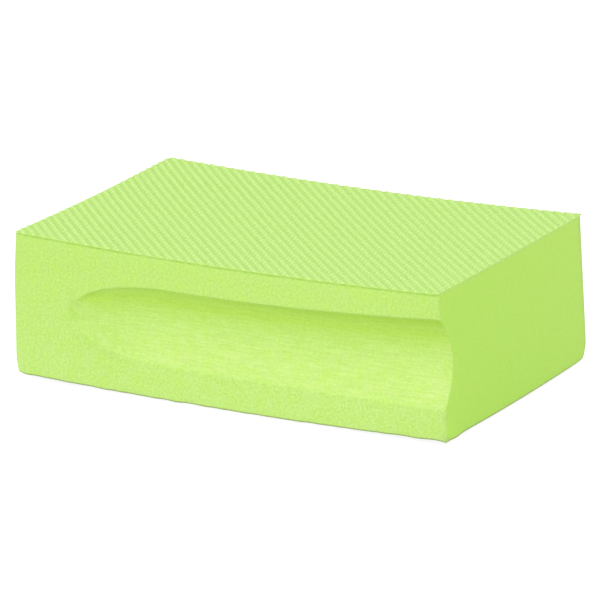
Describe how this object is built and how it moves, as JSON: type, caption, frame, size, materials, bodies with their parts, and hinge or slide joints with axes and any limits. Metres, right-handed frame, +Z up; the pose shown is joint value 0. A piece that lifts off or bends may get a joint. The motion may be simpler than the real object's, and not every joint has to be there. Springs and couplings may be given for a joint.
{
  "type": "sanding sponge",
  "caption": "Hand sanding sponge: a rectangular closed-cell foam block with a ribbed top face and a long finger groove along one side that opens through one end.",
  "frame": {"origin": "middle of the flat spot that the block rests on, which is the middle of its box at the base", "axes": "+X along the length, towards the end that the finger groove opens through; +Y across the width, away from the grooved side; +Z up, towards the ribbed top face"},
  "size_m": [0.127, 0.076, 0.0397],
  "materials": {
    "green_foam": "matte closed-cell foam, fine grained on the cut sides and embossed with slanting ribs on top"
  },
  "bodies": {
    "root": {"foam_block": "green_foam"}
  },
  "joints": []
}
